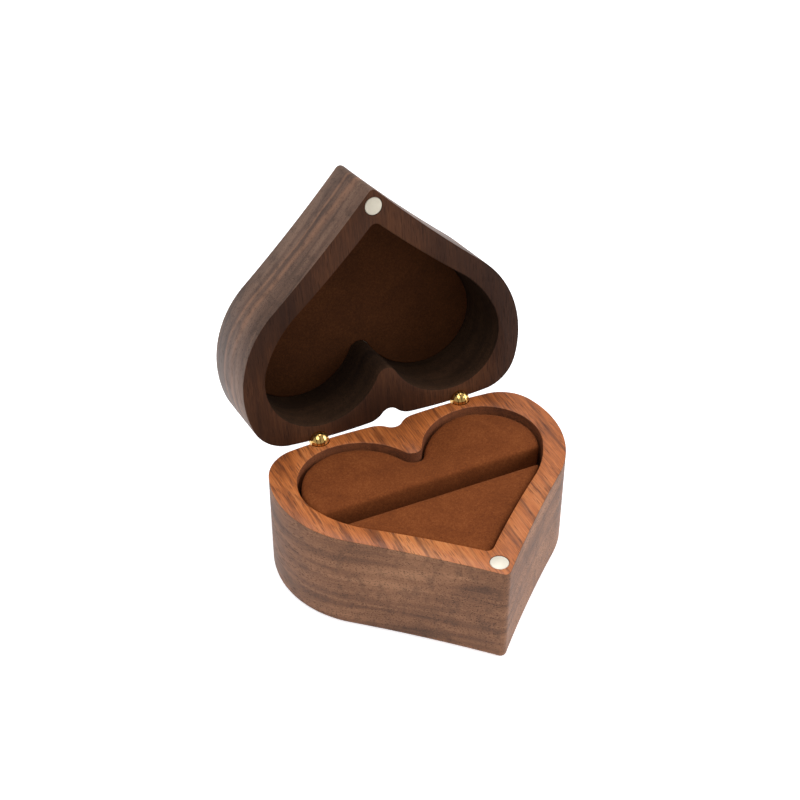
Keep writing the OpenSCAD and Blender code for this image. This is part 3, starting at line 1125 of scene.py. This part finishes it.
@dataclass
class Magnet:
    """A nickel-plated disc magnet flush with the wood."""

    name: str
    node: str
    body: Body
    face: float
    inward: int
    on_lid: bool = False
    radius: float = 2.0
    length: float = 3.0
    chamfer: float = 0.25
    far_edge: float = 0.1
    y: float = MAGNET_Y

    def build(self, finish: bpy.types.Material) -> bpy.types.Object:
        """Returns the finished magnet."""
        edge, back, wide = self.chamfer, self.far_edge, self.radius
        profile = [(0, -self.length), (wide - back, -self.length), (wide, back - self.length),
                   (wide, -edge), (wide - edge * 0.4, -edge * 0.25), (wide - edge, 0), (0, 0)]
        bm = lathe(profile, 72)
        if self.inward > 0:
            bm.transform(Matrix.Rotation(math.pi, 4, "X"))
        bm.transform(Matrix.Translation((0, self.y, self.face)))
        place = HINGE.opened() if self.on_lid else Matrix.Identity(4)
        disc = finish_mesh(bm, self.name, place, 28.0)
        disc.data.materials.append(finish)
        return settle(disc, self.body, Slot.NICKEL, self.node)


# ---------- studio ----------


@dataclass
class Studio:
    """A pale floor, soft lamps and the camera."""

    eye: tuple[float, float, float] = (-113.467, -214.092, 234.418)
    right: tuple[float, float, float] = (0.90258, -0.43052, 0.00218)
    up: tuple[float, float, float] = (0.2605, 0.5502, 0.7934)
    back: tuple[float, float, float] = (-0.34277, -0.71551, 0.60873)
    lens: float = 67.76
    aim: tuple[float, float, float] = (0, 0, 0.03)
    lamps: tuple[tuple[str, tuple[float, float, float], float, float], ...] = (
        ("key", (-0.35, -0.25, 0.75), 0.5, 2.6),
        ("fill", (0.75, -0.35, 0.45), 0.6, 5.0),
        ("top", (0.1, 0.35, 0.9), 0.6, 3.6),
    )
    sky: float = 0.45
    floor_glow: float = 0.52
    floor_size: float = 6.0

    def floor(self) -> None:
        """Lays the floor."""
        bm = bmesh.new()
        bmesh.ops.create_grid(bm, x_segments=8, y_segments=8, size=self.floor_size / 2)
        mesh = bpy.data.meshes.new("floor")
        bm.to_mesh(mesh)
        bm.free()
        floor = bpy.data.objects.new("floor", mesh)
        bpy.context.scene.collection.objects.link(floor)
        bench = Bench("pale_floor")
        bench.surface(Base_Color=(0.93, 0.93, 0.94), Roughness=0.8, Specular_IOR_Level=0.1,
                      Emission_Color=(0.96, 0.97, 1.0, 1), Emission_Strength=self.floor_glow)
        mesh.materials.append(bench.material)

    def lamp(self, name: str, place: Sequence[float], size: float, power: float) -> None:
        """Hangs one square lamp that faces the box.

        Args:
            name: the lamp's name.
            place: where it is, in metres.
            size: its side, in metres.
            power: its power in watts.
        """
        data = bpy.data.lights.new(name, "AREA")
        data.shape, data.size, data.energy = "SQUARE", size, power
        lamp = bpy.data.objects.new(name, data)
        lamp.location = place
        lamp.rotation_euler = (Vector(self.aim) - Vector(place)).to_track_quat("-Z", "Y").to_euler()
        bpy.context.scene.collection.objects.link(lamp)

    def camera(self) -> None:
        """Sets up the camera."""
        data = bpy.data.cameras.new("camera")
        data.lens, data.sensor_width = self.lens, 36
        data.clip_start, data.clip_end = 0.01, 50
        camera = bpy.data.objects.new("camera", data)
        axes = Matrix((self.right, self.up, self.back)).transposed()
        camera.matrix_world = Matrix.Translation(Vector(self.eye) * MM) @ axes.to_4x4()
        bpy.context.scene.collection.objects.link(camera)
        bpy.context.scene.camera = camera

    def build(self) -> None:
        """Sets up the whole studio."""
        world = bpy.data.worlds.new("studio")
        world.use_nodes = True
        background = world.node_tree.nodes["Background"]
        background.inputs[0].default_value = (1, 1, 1, 1)
        background.inputs[1].default_value = self.sky
        bpy.context.scene.world = world
        bpy.context.scene.view_settings.view_transform = "Standard"
        self.floor()
        self.camera()
        for name, place, size, power in self.lamps:
            self.lamp(name, place, size, power)
        LOG.info("studio set")


# ---------- the box ----------


def base_finishes() -> tuple[WoodFinish, WoodFinish, WoodFinish]:
    """Returns the base's side, rim and pocket finishes; the side palette is darkened as painted shade."""
    # Painted shade: the side palette is the walnut's tone darkened, standing in for the dimmer light on
    # the sides.
    side = WoodFinish(
        "base_side_walnut_painted_shade", tint(72, 46, 31), tint(120, 80, 54), tint(152, 108, 77), tint(26, 15, 10),
        streak=0.4, pores=0.6, layers=0.7, roughness=0.55)
    rim = WoodFinish(
        "base_rim_walnut", tint(92, 46, 22), tint(178, 100, 48), tint(206, 136, 80), tint(66, 32, 16),
        streak=0.7, pores=0.5, layers=0.3, roughness=0.42, fibre=0.9, gloss=0.45)
    pocket = WoodFinish(
        "base_pocket_walnut", tint(60, 32, 20), tint(120, 68, 40), tint(150, 92, 58), tint(40, 22, 14),
        streak=0.4, pores=0.4, layers=0.4, roughness=0.6)
    return side, rim, pocket


def lid_finishes() -> tuple[WoodFinish, WoodFinish, WoodFinish]:
    """Returns the lid's side, mating face and pocket finishes; the face and pocket palettes are darkened
    as painted shade.
    """
    block_seed = 41.0
    side = WoodFinish(
        "lid_side_walnut", tint(56, 40, 32), tint(96, 72, 59), tint(126, 97, 79), tint(28, 18, 14),
        streak=0.4, pores=0.4, layers=0.7, roughness=0.5, fibre=0.5, seed=block_seed, on_lid=True,
        ribbons=((31.5, 1.5), (35.0, 0.8)), ribbon=tint(134, 96, 74))
    # Painted shade: the mating face and pocket palettes are far darker than the base's rim and pocket,
    # standing in for the shade inside the open lid.
    rim = WoodFinish(
        "lid_face_walnut_painted_shade", tint(32, 17, 11), tint(57, 33, 20), tint(90, 55, 34), tint(26, 15, 12),
        streak=0.3, pores=0.3, layers=0.5, roughness=0.6, fibre=0.5, seed=block_seed, on_lid=True,
        gloss=0.1)
    pocket = WoodFinish(
        "lid_pocket_walnut_painted_shade", tint(24, 15, 11), tint(46, 31, 20), tint(68, 46, 32), tint(18, 11, 8),
        streak=0.3, pores=0.5, layers=0.4, roughness=0.7, seed=block_seed, on_lid=True, gloss=0.08)
    return side, rim, pocket


def build_wood() -> None:
    """Builds the two wood halves."""
    WoodHalf("base_wood", "base_shell", Body.BASE, Slot.WALNUT, far=0.0, rim=24.0, inner=3.0,
             finishes=base_finishes()).build()
    WoodHalf("lid_wood", "lid_shell", Body.LID, Slot.LID_WALNUT_WITH_PAINTED_SHADE, far=42.1, rim=24.1, inner=40.3,
             finishes=lid_finishes(), on_lid=True).build()


def build_suede() -> None:
    """Builds the two cushions and the lid's lining."""
    suede = SuedeFinish("rust_suede", tint(70, 34, 13), tint(112, 57, 24), tint(142, 82, 42))
    Cushion("rear_cushion", ("rear_cover", "rear_foam"), face=6.0, away=1, top=23.4, roll=6.5,
            dips=((3.5, 17.0, 1.1, 6.5), (23.0, 20.0, 0.35, 6.0), (-17.0, 9.0, 0.3, 9.0))).build(suede)
    Cushion("front_cushion", ("front_cover", "front_foam"), face=1.6, away=-1, top=23.4,
            roll=0.9).build(suede)
    # Painted shade: the lining's palette is a darker copy of the cushions' rust suede, for the shade
    # inside the open lid.
    dark = tint(40, 19, 6), tint(66, 34, 12), tint(88, 50, 22)
    Lining().build(SuedeFinish("lid_suede_painted_shade", *dark, sheen=0.15))


def build_metal() -> None:
    """Builds both hinges and both magnets."""
    # Partly painted reflection: the brass colours are the metal's tone deepened to stand in for the dark
    # wood that the balls reflect.
    brass = MetalFinish("polished_brass_painted_reflection", (0.80, 0.50, 0.16), (0.42, 0.24, 0.07), roughness=0.16,
                        marks=0.06).material()
    for side in (-1, 1):
        Hinge(side).build(brass)
    bright = MetalFinish("nickel_plate", (0.74, 0.69, 0.58), (0.66, 0.61, 0.50), roughness=0.45,
                         metallic=0.25).material()
    Magnet("base_magnet_disc", "base_magnet", Body.BASE, face=24.0, inward=-1).build(bright)
    # Painted shade: the lid's magnet is the same nickel part as the base's, given a darker copy of its
    # colour for the shade it sits in on the open lid.
    shaded_nickel = MetalFinish("nickel_painted_shade", (0.50, 0.46, 0.37), (0.44, 0.40, 0.32), roughness=0.45,
                       metallic=0.25).material()
    Magnet("lid_magnet_disc", "lid_magnet", Body.LID, face=24.1, inward=1, on_lid=True).build(shaded_nickel)


def main() -> None:
    """Builds the ring box around the frame."""
    logging.basicConfig(level=logging.INFO, format="%(name)s: %(message)s")
    Studio().build()
    build_wood()
    build_suede()
    build_metal()

    card = CardFinish("grey_card", tint(120, 112, 100), tint(160, 152, 140)).material()
    for name in ("rear_board", "front_board", "lining_board"):
        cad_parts[name].data.materials.clear()
        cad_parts[name].data.materials.append(card)


if __name__ == "__main__":
    main()
